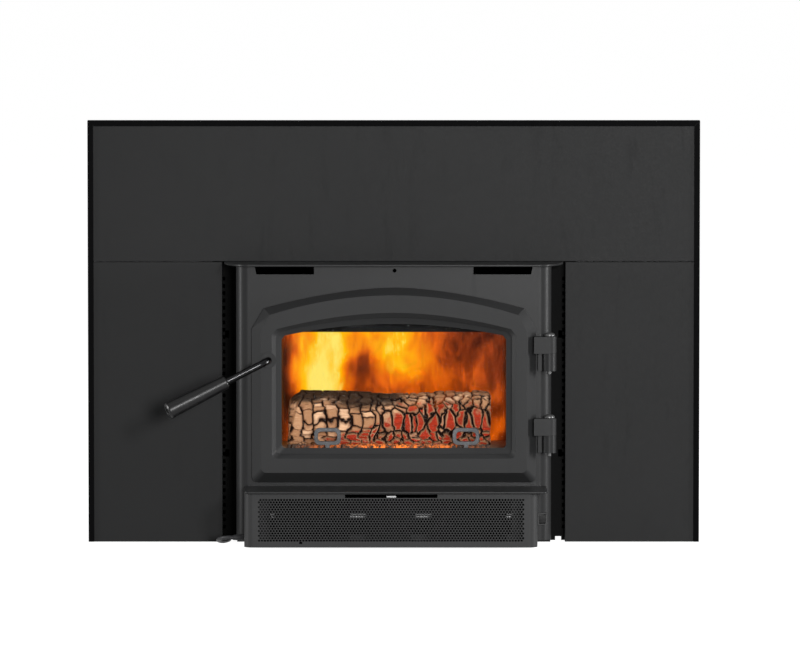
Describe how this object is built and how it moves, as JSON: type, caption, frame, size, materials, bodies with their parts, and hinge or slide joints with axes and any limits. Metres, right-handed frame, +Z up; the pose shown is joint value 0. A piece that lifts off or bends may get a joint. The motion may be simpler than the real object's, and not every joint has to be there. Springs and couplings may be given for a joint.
{
  "type": "fireplace insert",
  "caption": "Wood-burning fireplace insert with a wide flat three-panel surround, an arched glass door with a lever handle, an ash ledge and a perforated blower housing.",
  "frame": {"origin": "on the hearth, in the middle of the surround's width and of the depth from the ash ledge to the back of the jacket", "axes": "+X along the surround to the right as seen from the room, +Y into the fireplace, +Z up"},
  "size_m": [1.0668, 0.588, 0.7366],
  "materials": {
    "surround_paint": "satin textured paint",
    "trim_paint": "satin paint",
    "body_paint": "matt heat-resistant paint",
    "door_paint": "matt heat-resistant paint on a casting",
    "grille_paint": "matt paint",
    "dark_steel": "matt black",
    "galvanised_steel": "dull zinc",
    "fire_steel": "heat-darkened steel",
    "firebrick": "rough fired clay",
    "fibre_board": "rough board",
    "stainless": "satin",
    "door_glass": "clear ceramic glass",
    "rope_seal": "woven rope",
    "split_log": "charred, cracked wood",
    "pin_steel": "satin black",
    "rod_steel": "dark polished",
    "grip_black": "semi-gloss",
    "switch_black": "semi-gloss",
    "cord_black": "soft matt",
    "knob_grey": "worn grey"
  },
  "bodies": {
    "root": {"surround_top_panel": "surround_paint", "surround_left_panel": "surround_paint", "surround_right_panel": "surround_paint", "trim_left": "trim_paint", "trim_right": "trim_paint", "trim_top": "trim_paint", "flange_left": "dark_steel", "flange_right": "dark_steel", "base_plate": "dark_steel", "air_wash_duct": "dark_steel", "andiron_left": "dark_steel", "andiron_right": "dark_steel", "flue_collar": "dark_steel", "body_front": "body_paint", "top_plate": "body_paint", "ash_ledge": "body_paint", "fan_housing": "grille_paint", "levelling_bolt_left": "galvanised_steel", "levelling_bolt_right": "galvanised_steel", "jacket_left": "galvanised_steel", "jacket_right": "galvanised_steel", "jacket_back": "galvanised_steel", "jacket_top": "galvanised_steel", "blower_motor": "galvanised_steel", "blower_scroll_left": "galvanised_steel", "blower_scroll_right": "galvanised_steel", "firebox_floor": "fire_steel", "firebox_left": "fire_steel", "firebox_right": "fire_steel", "firebox_back": "fire_steel", "firebox_top": "fire_steel", "brick_floor": "firebrick", "brick_left": "firebrick", "brick_right": "firebrick", "brick_back": "firebrick", "baffle_board": "fibre_board", "air_tube_front": "stainless", "air_tube_middle": "stainless", "air_tube_rear": "stainless", "log": "split_log", "switch_bezel": "switch_black", "strain_relief": "cord_black", "power_cord": "cord_black", "cord_coil": "cord_black", "power_plug": "cord_black"},
    "door": {"door_frame": "door_paint", "door_glass": "door_glass", "door_gasket": "rope_seal", "glass_retainer_left": "dark_steel", "glass_retainer_right": "dark_steel", "hinge_pin_upper": "pin_steel", "hinge_pin_lower": "pin_steel"},
    "handle": {"handle_rod": "rod_steel", "handle_grip": "grip_black", "latch_cam": "dark_steel"},
    "air_control": {"air_lever": "knob_grey"},
    "blower_rotor": {"blower_shaft": "stainless", "impeller_left": "galvanised_steel", "impeller_right": "galvanised_steel"},
    "switch_key": {"switch_rocker": "switch_black"}
  },
  "joints": [
    {"name": "door_swing", "type": "hinge", "parent": "root", "child": "door", "pos_m": [0.2692, -0.196, 0.25], "axis": [0, 0, 1], "range_deg": [0, 110]},
    {"name": "handle_turn", "type": "hinge", "parent": "door", "child": "handle", "pos_m": [-0.2166, -0.225, 0.3258], "axis": [0, 1, 0], "range_deg": [0, 80]},
    {"name": "air_control_slide", "type": "slide", "parent": "root", "child": "air_control", "axis": [1, 0, 0], "range_m": [-0.068, 0.068]},
    {"name": "blower_spin", "type": "hinge", "parent": "root", "child": "blower_rotor", "pos_m": [-0.005, -0.234, 0.056], "axis": [1, 0, 0], "continuous": true},
    {"name": "switch_rock", "type": "hinge", "parent": "root", "child": "switch_key", "pos_m": [0.258, -0.1815, 0.0476], "axis": [1, 0, 0], "range_deg": [0, 14]}
  ]
}
